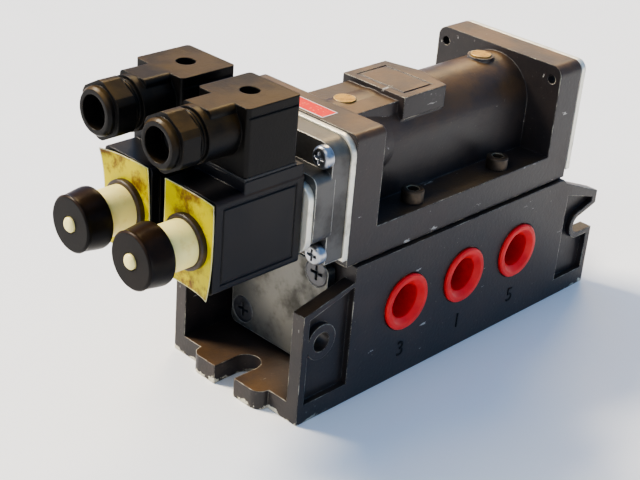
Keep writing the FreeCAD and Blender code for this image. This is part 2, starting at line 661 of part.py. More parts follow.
# ---------------------------------------------------------------- solenoids
def coil(name, y):
    block = box(("coil_near", f"{y} - coil_half", "coil_low"), ("coil_far", f"{y} + coil_half", "coil_high"))
    winding = rounded(block, "coil_round", runs_along(X))
    foot = box(("coil_near + 14", f"{y} - foot_half", "coil_high - 2"),
               ("coil_far - 0.5", f"{y} + foot_half", "foot_high"))
    holes = [rod("coil_bore", "60", ("coil_near - 1", y, "solenoid_height"), X)]
    holes += blades(y, "foot_high - 5", "foot_high + 1")
    for sign in (-1, 1):
        face = f"{y} + {sign} * (coil_half - frame_depth / 2)"
        low_y, high_y = f"{face} - frame_depth / 2", f"{face} + frame_depth / 2"
        holes.append(cut(
            box(("coil_near + frame_margin", low_y, "coil_low + frame_margin"),
                ("coil_far - frame_margin", high_y, "coil_high - frame_margin")),
            box(("coil_near + frame_margin + frame_line", low_y, "coil_low + frame_margin + frame_line"),
                ("coil_far - frame_margin - frame_line", high_y, "coil_high - frame_margin - frame_line"))))
    return node(f"coil_{name}", cut(fuse(winding, foot), *holes))


def blades(y, low, high):
    """The three flat terminals: two across, one along."""
    middle = "plug_hole_x"
    return [
        box((f"{middle} - 0.4", f"{y} - 9.6", low), (f"{middle} + 0.4", f"{y} - 4.8", high)),
        box((f"{middle} - 0.4", f"{y} + 4.8", low), (f"{middle} + 0.4", f"{y} + 9.6", high)),
        box((f"{middle} + 7", f"{y} - 2.4", low), (f"{middle} + 7.8", f"{y} + 2.4", high)),
    ]


def armature_tube(name, y):
    """The plain guide tube that the fixed core and the armature sit in."""
    tube = turned(f"tube_{name}", [
        ("0", "tube_bore"), ("tube_inner_end - tube_outer_end", "tube_bore"),
        ("tube_inner_end - tube_outer_end", "tube_radius"), ("0", "tube_radius"),
    ], ("tube_outer_end", y, "solenoid_height"))
    return node(f"armature_tube_{name}", tube)


def fixed_core(name, y):
    core = turned(f"core_{name}", [
        ("0", "2.1"), ("core_length", "2.1"), ("core_length", "tube_bore"), ("0", "tube_bore"),
    ], ("tube_outer_end", y, "solenoid_height"))
    return node(f"fixed_core_{name}", core)


def armature(name, y):
    """The sliding iron, with a poppet nose at its inner end. The push pin meets its flat outer end."""
    length = "armature_far - armature_near"
    body = turned(f"armature_{name}", [
        ("0", "0"), (f"{length} + 5.5", "0"), (f"{length} + 5.5", "1"), (f"{length} + 4.5", "2"), (length, "2"),
        (length, "armature_radius"), ("0", "armature_radius"),
    ], ("armature_near", y, "solenoid_height"))
    return node(f"armature_{name}", body)


def armature_spring(name, y):
    return node(f"armature_spring_{name}", coil_spring(
        f"spring_a{name}", "armature_spring_radius", "armature_spring_wire", "armature_spring_length", 5,
        ("armature_far + armature_spring_wire + 0.2", y, "solenoid_height")))


def override_pin(name, y):
    """The push pin: a domed button outside the cap, and a thin stem that reaches the armature."""
    reach = "armature_near - (cap_near - pin_reach)"
    shoulder = "tube_outer_end - armature_travel - override_gap - (cap_near - pin_reach)"
    pin = turned(f"pin_{name}", [
        ("0", "0"), (reach, "0"), (reach, "1.9"), (shoulder, "1.9"), (shoulder, "pin_radius"),
        ("1", "pin_radius"), ("0.3", "pin_radius - 0.7"), ("0", "pin_radius - 1.6"),
    ], ("cap_near - pin_reach", y, "solenoid_height"))
    return node(f"override_pin_{name}", pin)


def override_spring(name, y):
    """A light spring between the outer end of the fixed core and the pin's shoulder."""
    return node(f"override_spring_{name}", coil_spring(
        f"spring_b{name}", "override_spring_radius", "override_spring_wire",
        "armature_travel + override_gap - 2 * spring_end_gap", 2,
        ("tube_outer_end - armature_travel - override_gap + spring_end_gap", y, "solenoid_height")))


def retaining_sleeve(name, y):
    length = "coil_near - film_thick - sleeve_near"
    sleeve = turned(f"sleeve_{name}", [
        ("0", "tube_radius + 0.1"), (length, "tube_radius + 0.1"), (length, "sleeve_radius"),
        ("0.8", "sleeve_radius"), ("0", "sleeve_radius - 0.8"),
    ], ("sleeve_near", y, "solenoid_height"))
    return node(f"retaining_sleeve_{name}", sleeve)


def sealing_ring(name, y):
    start = "coil_near - film_thick - ring_thick"
    ring = turned(f"ring_{name}", [
        ("0", "sleeve_radius"), ("ring_thick", "sleeve_radius"), ("ring_thick", "ring_radius"),
        ("0.5", "ring_radius"), ("0", "ring_radius - 0.5"),
    ], (start, y, "solenoid_height"))
    return node(f"sealing_ring_{name}", ring)


def coil_film(name, y):
    sheet_part = box(("coil_near - film_thick", f"{y} - coil_half + 0.4", "coil_low - 1.5"),
                     ("coil_near", f"{y} + coil_half - 0.4", "coil_high - 0.5"))
    return node(f"coil_film_{name}", cut(sheet_part, rod("tube_radius + 0.1", "5", ("coil_near - 3", y,
                                                                                  "solenoid_height"), X)))


def rubber_cap(name, y):
    """A cup of rubber pushed over the tube's end, with a hole for the pin."""
    wall = "cap_far - cap_near"
    cap = turned(f"cap_{name}", [
        ("0", "pin_radius + 0.3"), ("5.4", "pin_radius + 0.3"), ("5.4", "tube_radius"),
        (f"{wall} - 4", "tube_radius"), (f"{wall} - 4", "sleeve_radius"), (wall, "sleeve_radius"),
        (wall, "cap_radius - 1.2"), (f"{wall} - 0.8", "cap_radius - 0.4"), (f"({wall}) * 0.5", "cap_radius"),
        ("1", "cap_radius - 0.3"), ("0", "cap_radius - 1.2"),
    ], ("cap_near", y, "solenoid_height"))
    return node(f"rubber_cap_{name}", cap)


# ---------------------------------------------------------------- cable plugs
def connector_housing(name, y):
    block = box(("plug_near_face", f"{y} - plug_half", "plug_low"),
                ("plug_far_face", f"{y} + plug_half", "plug_high"))
    shell = rounded(block, "1.6", runs_along(Z))
    neck = common(rod("neck_radius", "plug_near_face - neck_near + 4", ("neck_near", y, "gland_height"), X),
                  box(("neck_near - 1", f"{y} - neck_radius", "gland_height - neck_radius"),
                      ("plug_near_face + 5", f"{y} + neck_radius", "plug_high")))
    shoulder = rounded(box(("neck_near + 3", f"{y} - neck_half", "gland_height - 6"),
                           ("plug_near_face + 3", f"{y} + neck_half", "plug_high")),
                       "shoulder_round",
                       lambda edge: runs_along(X)(edge) and edge.CenterOfMass.z > size("plug_high") - 1)
    seam = cut(box(("plug_near_face - 1", f"{y} - plug_half - 1", "plug_high - seam_drop"),
                   ("plug_far_face + 1", f"{y} + plug_half + 1", "plug_high - seam_drop + seam_height")),
               box(("plug_near_face - 1", f"{y} - plug_half + seam_depth", "plug_high - seam_drop - 1"),
                   ("plug_far_face - seam_depth", f"{y} + plug_half - seam_depth",
                    "plug_high - seam_drop + 2")))
    thread = rod("thread_radius", "neck_near - thread_near + 1", ("thread_near", y, "gland_height"), X)
    ridges = [rod("thread_radius + 0.5", "0.8", (f"neck_near - {1.2 + 1.5 * number}", y, "gland_height"), X)
              for number in range(2)]
    room = box(("plug_near_face + plug_wall", f"{y} - plug_half + plug_wall", "plug_low - 1"),
               ("plug_far_face - plug_wall", f"{y} + plug_half - plug_wall", "plug_high - plug_wall - 3"))
    entry = rod("cable_radius", "plug_near_face - thread_near + 6",
                ("thread_near - 1", y, "gland_height"), X)
    well = rod("plug_hole", "20", ("plug_hole_x", y, "plug_high - 10"), Z)
    solid = fuse(shell, neck, shoulder, thread, *ridges)
    return node(f"connector_housing_{name}", cut(solid, room, entry, well, seam))


def terminal_block(name, y):
    block = box(("plug_near_face + plug_wall + 0.3", f"{y} - plug_half + plug_wall + 0.3", "plug_low"),
                ("plug_far_face - plug_wall - 0.3", f"{y} + plug_half - plug_wall - 0.3", "plug_low + 9"))
    holes = blades(y, "plug_low - 1", "plug_low + 8")
    holes.append(rod("1.7", "12", ("plug_hole_x", y, "plug_low - 1"), Z))
    return node(f"terminal_block_{name}", cut(block, *holes))


def connector_screw(name, y):
    """The long central screw that holds the cable plug down on the coil."""
    shank = rod("1.5", "plug_high - 12 - foot_high", ("plug_hole_x", y, "foot_high + 0.2"), Z)
    head = rod("3", "3.2", ("plug_hole_x", y, "plug_high - 12"), Z)
    slot = box(("plug_hole_x - 4", f"{y} - 0.5", "plug_high - 10"),
               ("plug_hole_x + 4", f"{y} + 0.5", "plug_high"))
    return node(f"connector_screw_{name}", cut(fuse(shank, head), slot))


def connector_gasket(name, y):
    flat = box(("plug_near_face", f"{y} - plug_half", "foot_high"),
               ("plug_far_face", f"{y} + plug_half", "plug_low"))
    holes = blades(y, "foot_high - 1", "plug_low + 1")
    holes.append(rod("1.8", "4", ("plug_hole_x", y, "foot_high - 1"), Z))
    return node(f"connector_gasket_{name}", cut(flat, *holes))


def coil_terminals(name, y):
    return node(f"coil_terminals_{name}", group(*blades(y, "foot_high - 5", "plug_low + 7.5")))


def gland_nut(name, y):
    """A pressure nut: a round nose in front of six flats."""
    nose = turned(f"nut_{name}", [
        ("0", "cable_radius"), ("nut_far - nut_near", "cable_radius"), ("nut_far - nut_near", "nut_radius"),
        ("1.2", "nut_radius"), ("0", "nut_radius - 1"),
    ], ("nut_near", y, "gland_height"))
    flats = cut(hexagon("nut_flats", "nut_far - nut_near - 3", ("nut_near + 3", y, "gland_height"), X),
                rod("cable_radius", "30", ("nut_near - 1", y, "gland_height"), X))
    barrel = rod("nut_flats + 0.9", "nut_far - nut_near - 1", ("nut_near + 1", y, "gland_height"), X)
    room = rod("thread_radius + 0.02", "30", ("thread_near - 0.01", y, "gland_height"), X)
    return node(f"gland_nut_{name}", cut(fuse(nose, common(flats, barrel)), room))


def gland_seal(name, y):
    """The rubber bush that the nut squeezes round a cable."""
    return node(f"gland_seal_{name}", flat_ring("cable_radius - 0.02", "4.4", "9", "thread_near + 1", y,
                                                "gland_height"))


MAKERS = (coil, armature_tube, fixed_core, armature, armature_spring, override_pin, override_spring,
          retaining_sleeve, sealing_ring, coil_film, rubber_cap, connector_gasket, connector_housing,
          terminal_block, connector_screw, coil_terminals, gland_nut, gland_seal)
for side_name, centre_line in SOLENOIDS:
    for make in MAKERS:
        make(side_name, centre_line)

# ---------------------------------------------------------------- check and write
doc.recompute()
for item in doc.Objects:
    for fault in ("Invalid", "Error"):
        if fault in item.State:
            raise RuntimeError(f"{item.Name} ({item.Label}) is {item.State}")
for item in NODES:
    if item.Shape.isNull() or not item.Shape.isValid() or not item.Shape.Solids:
        raise RuntimeError(f"{item.Label} has no valid solid")
os.makedirs("parts", exist_ok=True)
for item in NODES:
    item.Shape.exportStep(f"parts/{item.Label}.step")
    box_now = item.Shape.BoundBox
    print(f"{item.Label:24s} solids {len(item.Shape.Solids)}  volume {item.Shape.Volume:10.1f}"
          f"  x {box_now.XMin:7.1f} {box_now.XMax:7.1f}  y {box_now.YMin:6.1f} {box_now.YMax:6.1f}"
          f"  z {box_now.ZMin:6.1f} {box_now.ZMax:6.1f}")
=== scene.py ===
import math

import bmesh
import bpy
from mathutils import Matrix, Vector


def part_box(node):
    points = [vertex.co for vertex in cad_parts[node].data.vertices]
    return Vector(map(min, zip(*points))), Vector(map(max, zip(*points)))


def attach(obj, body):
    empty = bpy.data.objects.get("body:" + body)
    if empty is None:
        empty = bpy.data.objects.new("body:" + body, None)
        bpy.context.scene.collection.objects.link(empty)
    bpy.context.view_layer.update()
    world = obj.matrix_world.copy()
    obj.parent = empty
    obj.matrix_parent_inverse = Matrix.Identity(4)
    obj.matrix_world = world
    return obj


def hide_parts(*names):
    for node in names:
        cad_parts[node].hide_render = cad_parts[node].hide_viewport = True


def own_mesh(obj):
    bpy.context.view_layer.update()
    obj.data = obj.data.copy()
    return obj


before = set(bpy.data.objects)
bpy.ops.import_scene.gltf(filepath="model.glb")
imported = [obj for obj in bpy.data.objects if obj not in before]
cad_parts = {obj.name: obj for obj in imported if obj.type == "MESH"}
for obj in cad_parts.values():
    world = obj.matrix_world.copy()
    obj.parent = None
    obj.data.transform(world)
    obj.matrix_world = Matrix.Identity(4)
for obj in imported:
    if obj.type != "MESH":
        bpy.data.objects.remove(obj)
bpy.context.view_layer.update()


# ---------------------------------------------------------------- sub-base and valve body
# Two aluminium castings sprayed in satin black enamel. Handling has chipped the enamel along the outer
# edges down to pale primer and metal. The faces that look upwards are browned by oily dust and by a
# painted warm sheen of the lamplight.
def new_group(name, inputs, outputs):
    """A shader node group with its input and output nodes; every input is a number."""
    group = bpy.data.node_groups.new(name, "ShaderNodeTree")
    for label, default in inputs.items():
        socket = group.interface.new_socket(label, in_out="INPUT", socket_type="NodeSocketFloat")
        socket.default_value = default
    for label, kind in outputs.items():
        group.interface.new_socket(label, in_out="OUTPUT", socket_type=kind)
    return group, group.nodes.new("NodeGroupInput"), group.nodes.new("NodeGroupOutput")


def maths(tree, operation, first, second, clamp=False):
    """One Math node; each operand is a socket or a number."""
    step = tree.nodes.new("ShaderNodeMath")
    step.operation = operation
    step.use_clamp = clamp
    for socket, value in zip(step.inputs, (first, second)):
        if isinstance(value, bpy.types.NodeSocket):
            tree.links.new(value, socket)
        else:
            socket.default_value = value
    return step.outputs[0]


def ramp(tree, value, low, high):
    """A smooth step from 0 at low to 1 at high."""
    step = tree.nodes.new("ShaderNodeMapRange")
    step.interpolation_type = "SMOOTHSTEP"
    for label, source in (("Value", value), ("From Min", low), ("From Max", high)):
        if isinstance(source, bpy.types.NodeSocket):
            tree.links.new(source, step.inputs[label])
        else:
            step.inputs[label].default_value = source
    return step.outputs[0]


def noise(tree, scale, detail=4.0, roughness=0.6):
    """Noise on the piece's own coordinates, centred near 0.5."""
    place = tree.nodes.new("ShaderNodeTexCoord")
    texture = tree.nodes.new("ShaderNodeTexNoise")
    texture.inputs["Detail"].default_value = detail
    texture.inputs["Roughness"].default_value = roughness
    if isinstance(scale, bpy.types.NodeSocket):
        tree.links.new(scale, texture.inputs["Scale"])
    else:
        texture.inputs["Scale"].default_value = scale
    tree.links.new(place.outputs["Object"], texture.inputs["Vector"])
    return texture.outputs[0]


EDGE_WIDTH = 0.0009
CHIP_FADE = 62.0
CHIPS_FROM = 0.082
CHIPS_FULL = 0.104

edge_wear, entry, leave = new_group(
    "edge_wear", {"Cover": 0.5, "Patch Scale": 120.0, "Foot Chips": 0.0},
    {"Mask": "NodeSocketFloat", "Normal": "NodeSocketVector"})
soft_edge = edge_wear.nodes.new("ShaderNodeBevel")
soft_edge.samples = 6
soft_edge.inputs["Radius"].default_value = EDGE_WIDTH
flat_face = edge_wear.nodes.new("ShaderNodeNewGeometry")
agree = edge_wear.nodes.new("ShaderNodeVectorMath")
agree.operation = "DOT_PRODUCT"
edge_wear.links.new(soft_edge.outputs["Normal"], agree.inputs[0])
edge_wear.links.new(flat_face.outputs["Normal"], agree.inputs[1])
crease = maths(edge_wear, "SUBTRACT", 1.0, agree.outputs["Value"], clamp=True)
open_air = edge_wear.nodes.new("ShaderNodeAmbientOcclusion")
open_air.samples = 6
open_air.inputs["Distance"].default_value = 0.004
outward = ramp(edge_wear, open_air.outputs["AO"], 0.55, 0.8)
patches = noise(edge_wear, entry.outputs["Patch Scale"], detail=6.0, roughness=0.7)
threshold = maths(edge_wear, "SUBTRACT", 0.98, entry.outputs["Cover"])
worn = ramp(edge_wear, maths(edge_wear, "ADD", patches, maths(edge_wear, "MULTIPLY", crease, 0.35)),
            threshold, maths(edge_wear, "ADD", threshold, 0.04))
on_edge = ramp(edge_wear, crease, 0.05, 0.16)
rubbed_edges = maths(edge_wear, "MULTIPLY", maths(edge_wear, "MULTIPLY", worn, on_edge), outward)
spot = edge_wear.nodes.new("ShaderNodeTexCoord")
place = edge_wear.nodes.new("ShaderNodeSeparateXYZ")
edge_wear.links.new(spot.outputs["Object"], place.inputs[0])
at_ends = ramp(edge_wear, maths(edge_wear, "ABSOLUTE", place.outputs["X"], 0.0), CHIPS_FROM, CHIPS_FULL)
knocks = maths(edge_wear, "SUBTRACT", noise(edge_wear, 170.0, detail=5.0, roughness=0.65),
               maths(edge_wear, "MULTIPLY", place.outputs["Z"], CHIP_FADE))
foot_chips = maths(edge_wear, "MULTIPLY", ramp(edge_wear, knocks, 0.445, 0.47), at_ends)
foot_chips = maths(edge_wear, "MULTIPLY", foot_chips, entry.outputs["Foot Chips"])
edge_wear.links.new(maths(edge_wear, "MAXIMUM", rubbed_edges, foot_chips), leave.inputs["Mask"])
edge_wear.links.new(soft_edge.outputs["Normal"], leave.inputs["Normal"])

surface_grain, entry, leave = new_group(
    "surface_grain", {"Scale": 900.0, "Pits": 0.3}, {"Height": "NodeSocketFloat"})
fine = noise(surface_grain, entry.outputs["Scale"], detail=3.0)
broad = noise(surface_grain, maths(surface_grain, "MULTIPLY", entry.outputs["Scale"], 0.25), detail=2.0)
pits = ramp(surface_grain, broad, 0.62, 0.7)
surface_grain.links.new(
    maths(surface_grain, "SUBTRACT", fine, maths(surface_grain, "MULTIPLY", pits, entry.outputs["Pits"])),
    leave.inputs["Height"])

stains, entry, leave = new_group(
    "stains", {"Scale": 40.0, "Low": 0.45, "High": 0.6}, {"Mask": "NodeSocketFloat"})
blotch = noise(stains, entry.outputs["Scale"], detail=5.0, roughness=0.65)
stains.links.new(ramp(stains, blotch, entry.outputs["Low"], entry.outputs["High"]), leave.inputs["Mask"])

# Brown film on upward faces: partly oil and dust, partly a painted warm sheen of the lamplight. It is left
# out of hollows that little light reaches, which stay darker as painted shade.
film_and_sheen, entry, leave = new_group("film_and_sheen", {"Amount": 0.8}, {"Mask": "NodeSocketFloat"})
facing = film_and_sheen.nodes.new("ShaderNodeNewGeometry")
parts_of_normal = film_and_sheen.nodes.new("ShaderNodeSeparateXYZ")
film_and_sheen.links.new(facing.outputs["Normal"], parts_of_normal.inputs[0])
upward = ramp(film_and_sheen, parts_of_normal.outputs["Z"], -0.1, 0.85)
uneven = ramp(film_and_sheen, noise(film_and_sheen, 42.0, detail=6.0), 0.36, 0.62)
spread = maths(film_and_sheen, "ADD", maths(film_and_sheen, "MULTIPLY", uneven, 0.7), 0.35)
open_above = film_and_sheen.nodes.new("ShaderNodeAmbientOcclusion")
open_above.samples = 4
open_above.inputs["Distance"].default_value = 0.05
unshaded = ramp(film_and_sheen, open_above.outputs["AO"], 0.48, 0.86)
film_and_sheen_mask = maths(film_and_sheen, "MULTIPLY", maths(film_and_sheen, "MULTIPLY", upward, spread), unshaded)
film_and_sheen.links.new(maths(film_and_sheen, "MULTIPLY", film_and_sheen_mask, entry.outputs["Amount"]), leave.inputs["Mask"])

# Painted shade: a mask of enclosed hollows, where the colour is darkened.
hollow_shade, entry, leave = new_group("hollow_shade", {"Reach": 0.012}, {"Mask": "NodeSocketFloat"})
enclosed = hollow_shade.nodes.new("ShaderNodeAmbientOcclusion")
enclosed.samples = 6
hollow_shade.links.new(entry.outputs["Reach"], enclosed.inputs["Distance"])
hollow_shade.links.new(ramp(hollow_shade, enclosed.outputs["AO"], 0.62, 0.2), leave.inputs["Mask"])

scuffs, entry, leave = new_group(
    "scuffs", {"Scale": 70.0, "Rarity": 0.66}, {"Mask": "NodeSocketFloat"})
place = scuffs.nodes.new("ShaderNodeTexCoord")
slant = scuffs.nodes.new("ShaderNodeMapping")
slant.inputs["Rotation"].default_value = (0.3, 0.9, 0.5)
slant.inputs["Scale"].default_value = (1.0, 6.0, 3.0)
streak = scuffs.nodes.new("ShaderNodeTexNoise")
streak.inputs["Detail"].default_value = 6.0
streak.inputs["Roughness"].default_value = 0.7
scuffs.links.new(place.outputs["Object"], slant.inputs["Vector"])
scuffs.links.new(slant.outputs["Vector"], streak.inputs["Vector"])
scuffs.links.new(entry.outputs["Scale"], streak.inputs["Scale"])
scuffs.links.new(ramp(scuffs, streak.outputs[0], entry.outputs["Rarity"],
                      maths(scuffs, "ADD", entry.outputs["Rarity"], 0.03)), leave.inputs["Mask"])


def placed(tree, group, **values):
    """A shared group in a material, with its own values."""
    use = tree.nodes.new("ShaderNodeGroup")
    use.node_tree = group
    for label, value in values.items():
        use.inputs[label.replace("_", " ")].default_value = value
    return use


def mixed(tree, mask, under, over):
    """One colour over another where the mask is white; each is a socket or a colour."""
    blend = tree.nodes.new("ShaderNodeMix")
    blend.data_type = "RGBA"
    tree.links.new(mask, blend.inputs["Factor"])
    for socket, value in ((blend.inputs[6], under), (blend.inputs[7], over)):
        if isinstance(value, bpy.types.NodeSocket):
            tree.links.new(value, socket)
        else:
            socket.default_value = (*value, 1.0)
    return blend.outputs[2]


WORN_ROUGHER = 0.2


def finish_of(name, colour, stain_colour, rough, metallic=0.0, shine=0.5, rough_spread=0.12,
              stain=(40.0, 0.45, 0.65), grain=(900.0, 0.00003), worn_to=None, worn_cover=0.4, foot_chips=0.0,
              film=None, film_amount=0.8, specks=None, cavity_shade=None, scuff=None):
    """A surface: stained base colour, then oil, dust and a painted warm sheen on upward faces, dust specks,
    painted shade in cavities, scuffs and worn edges, with fine relief.

    stain and specks are (scale, low, high) of their patches, grain (scale, depth in metres), and scuff
    (scale, rarity, colour). worn_to is the colour of rubbed edges, film the colour of the oil and dust on
    upward faces, which also paints a warm sheen there, and the cavity colour paints shade into hollows.
    """
    surface = bpy.data.materials.new(name)
    surface.use_nodes = True
    tree = surface.node_tree
    shader = tree.nodes["Principled BSDF"]
    blotches = placed(tree, stains, Scale=stain[0], Low=stain[1], High=stain[2]).outputs["Mask"]
    seen = mixed(tree, blotches, colour, stain_colour)
    roughness = maths(tree, "ADD", rough, maths(tree, "MULTIPLY", blotches, rough_spread))
    if film:
        # Oil and dust on upward faces, with a painted warm sheen there.
        dust_and_sheen = placed(tree, film_and_sheen, Amount=film_amount).outputs["Mask"]
        seen = mixed(tree, dust_and_sheen, seen, film)
    if specks:
        specked = placed(tree, stains, Scale=specks[0], Low=specks[1], High=specks[2]).outputs["Mask"]
        seen = mixed(tree, specked, seen, DUST)
    if cavity_shade:
        # Painted shade in cavities.
        shaded_hollow = placed(tree, hollow_shade).outputs["Mask"]
        seen = mixed(tree, shaded_hollow, seen, cavity_shade)
    if scuff:
        rubbed = placed(tree, scuffs, Scale=scuff[0], Rarity=scuff[1]).outputs["Mask"]
        seen = mixed(tree, rubbed, seen, scuff[2])
    edges = placed(tree, edge_wear, Cover=worn_cover, Foot_Chips=foot_chips)
    if worn_to:
        seen = mixed(tree, edges.outputs["Mask"], seen, worn_to)
        rougher = maths(tree, "MULTIPLY", edges.outputs["Mask"], WORN_ROUGHER)
        roughness = maths(tree, "ADD", roughness, rougher, clamp=True)
    relief = tree.nodes.new("ShaderNodeBump")
    relief.inputs["Distance"].default_value = grain[1]
    tree.links.new(placed(tree, surface_grain, Scale=grain[0]).outputs["Height"], relief.inputs["Height"])
    tree.links.new(edges.outputs["Normal"], relief.inputs["Normal"])
    tree.links.new(relief.outputs["Normal"], shader.inputs["Normal"])
    tree.links.new(seen, shader.inputs["Base Color"])
    tree.links.new(roughness, shader.inputs["Roughness"])
    shader.inputs["Metallic"].default_value = metallic
    shader.inputs["Specular IOR Level"].default_value = shine
    return surface


def cover(surface, *names):
    """Give CAD nodes a finish."""
    for name in names:
        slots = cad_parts[name].data.materials
        slots.clear()
        slots.append(surface)


BARE_METAL = (0.6, 0.55, 0.42)
# The brown of oily dust, which also paints a warm sheen of the lamplight on upward faces.
OIL_AND_SHEEN = (0.15, 0.076, 0.022)
DUST = (0.16, 0.14, 0.115)

black_enamel = finish_of("black_enamel", (0.021, 0.0175, 0.017), (0.042, 0.031, 0.027), 0.36, shine=0.42,
                         stain=(25.0, 0.4, 0.7), grain=(700.0, 0.0001), worn_to=BARE_METAL, worn_cover=0.38,
                         foot_chips=1.0, film=OIL_AND_SHEEN, film_amount=0.8, specks=(750.0, 0.64, 0.76),
                         scuff=(60.0, 0.665, (0.4, 0.38, 0.34)))
cover(black_enamel, "sub_base", "valve_body")

# ---------------------------------------------------------------- port numbers
# Small cast numbers stand below the three near ports: 1 is the supply, 3 and 5 are the exhausts. They are
# part of the sub-base's casting; here they are separate marks in a dull black paint of their own.
DIGIT_HEIGHT = 0.0105
DIGIT_PROUD = 0.00025
digit_paint = finish_of("digit_paint", (0.004, 0.004, 0.005), (0.01, 0.01, 0.01), 0.55, shine=0.25)


def raised_mark(name, words, height, proud, turn, at, surface):
    """A cast mark: text made solid, turned and set in place as a mesh."""
    flat = bpy.data.curves.new(name, "FONT")
    flat.body = words
    flat.size = height
    flat.extrude = proud
    flat.align_x = "CENTER"
    flat.align_y = "CENTER"
    maker = bpy.data.objects.new(name + "_text", flat)
    bpy.context.collection.objects.link(maker)
    bpy.context.view_layer.update()
    mesh = bpy.data.meshes.new_from_object(maker.evaluated_get(bpy.context.evaluated_depsgraph_get()))
    bpy.data.objects.remove(maker)
    mesh.transform(Matrix.Translation(at) @ turn)
    mesh.materials.clear()
    mesh.materials.append(surface)
    mark = bpy.data.objects.new(name, mesh)
    bpy.context.collection.objects.link(mark)
    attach(mark, "housing")
    return mark


near_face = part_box("sub_base")[0].y
upright = Matrix.Rotation(math.pi / 2, 4, "X")
PORT_PITCH = 0.0395
MARK_HEIGHT = 0.0135
for digit, step in (("3", -1), ("1", 0), ("5", 1)):
    raised_mark(f"port_number_{digit}", digit, DIGIT_HEIGHT, DIGIT_PROUD, upright,
                (step * PORT_PITCH, near_face, MARK_HEIGHT), digit_paint)


# ---------------------------------------------------------------- gaskets
# Flat black sheet, clamped between the castings and their covers. Only its cut edge shows, as a thin
# dark line round the joint.
gasket_sheet = finish_of("gasket_sheet", (0.012, 0.012, 0.012), (0.03, 0.028, 0.025), 0.75,
                         grain=(1500.0, 0.00004))
cover(gasket_sheet, "body_gasket", "lower_end_gasket", "far_cover_gasket")

# ---------------------------------------------------------------- lower plate and pilot block
# Two aluminium castings left bare: dull and mottled, darkened where oil has soaked in, and brighter
# along their rubbed edges. Their upward faces are warmed by dust and by a painted sheen.
cast_metal = finish_of("cast_metal", (0.19, 0.185, 0.165), (0.085, 0.08, 0.068), 0.42, metallic=0.75,
                       rough_spread=0.2, stain=(55.0, 0.42, 0.68), grain=(500.0, 0.0001),
                       worn_to=(0.8, 0.78, 0.7), worn_cover=0.5, film=(0.3, 0.24, 0.15), film_amount=0.5)
cover(cast_metal, "lower_end_plate")
pilot_metal = finish_of("pilot_metal", (0.11, 0.108, 0.105), (0.065, 0.06, 0.055), 0.4, metallic=0.7,
                        rough_spread=0.15, stain=(45.0, 0.4, 0.7), grain=(500.0, 0.00008),
                        worn_to=(0.7, 0.68, 0.6), worn_cover=0.5, film=(0.33, 0.29, 0.21), film_amount=0.6)
cover(pilot_metal, "pilot_block")

# ---------------------------------------------------------------- plates of the end stacks
# The adapter, the carrier of the armature tubes and the far cover are cut from bright rolled plate, and
# the spool's sleeve is turned from the same metal.
bright_plate = finish_of("bright_plate", (0.78, 0.75, 0.64), (0.5, 0.47, 0.38), 0.35, metallic=0.55,
                         stain=(90.0, 0.5, 0.75), grain=(1200.0, 0.00003))
cover(bright_plate, "adapter_plate", "solenoid_plate", "far_end_cover", "spool_sleeve")

# ---------------------------------------------------------------- screws
# Zinc plated cross head screws, duller on the lower plate, and blackened cap screws with rubbed rims that
# hold the body to the sub-base.
zinc = finish_of("zinc", (0.4, 0.41, 0.43), (0.24, 0.25, 0.26), 0.3, metallic=1.0,
                 stain=(160.0, 0.5, 0.7), grain=(1500.0, 0.00003), worn_to=(0.85, 0.85, 0.85))
cover(zinc, "pilot_block_screws", "far_cover_screws")
dull_zinc = finish_of("dull_zinc", (0.12, 0.12, 0.125), (0.06, 0.06, 0.062), 0.42, metallic=0.8,
                      stain=(160.0, 0.45, 0.7), grain=(1200.0, 0.00005),
                      worn_to=(0.32, 0.32, 0.31), worn_cover=0.35)
cover(dull_zinc, "lower_plate_screws")
# The brown on the cap screws' upward faces is oily dust with a painted warm sheen.
black_oxide = finish_of("black_oxide", (0.05, 0.038, 0.028), (0.1, 0.075, 0.05), 0.4, metallic=0.6,
                        stain=(150.0, 0.4, 0.7), grain=(1200.0, 0.00004), worn_to=(0.5, 0.42, 0.28),
                        worn_cover=0.75, film=OIL_AND_SHEEN, film_amount=0.4)
cover(black_oxide, "body_screws")

# ---------------------------------------------------------------- brass and steel pieces
# Dull brass plugs close the passages in the top of the body, and brass blades join coil and plug. The
# spool, the armatures and their tubes are turned steel.
dull_brass = finish_of("dull_brass", (0.46, 0.27, 0.055), (0.25, 0.13, 0.03), 0.42, metallic=0.6,
                       stain=(300.0, 0.4, 0.7), grain=(900.0, 0.00008), worn_to=(0.8, 0.68, 0.42),
                       worn_cover=0.45)
cover(dull_brass, "brass_passage_plugs", "coil_terminals_1", "coil_terminals_2")
turned_steel = finish_of("turned_steel", (0.5, 0.5, 0.52), (0.36, 0.36, 0.38), 0.28, metallic=1.0)
cover(turned_steel, "spool", "connector_screw_1", "connector_screw_2")
for side in "12":
    cover(turned_steel, f"armature_tube_{side}", f"fixed_core_{side}", f"armature_{side}")

# ---------------------------------------------------------------- seals
# Black rubber: the spool's and the sleeve's rings, the flat gaskets under the cable plugs, and the rings
# that grip the cables.
seal_rubber = finish_of("seal_rubber", (0.014, 0.014, 0.014), (0.028, 0.027, 0.026), 0.55)
cover(seal_rubber, "spool_seals", "sleeve_o_rings", "connector_gasket_1", "connector_gasket_2",
      "gland_seal_1", "gland_seal_2")

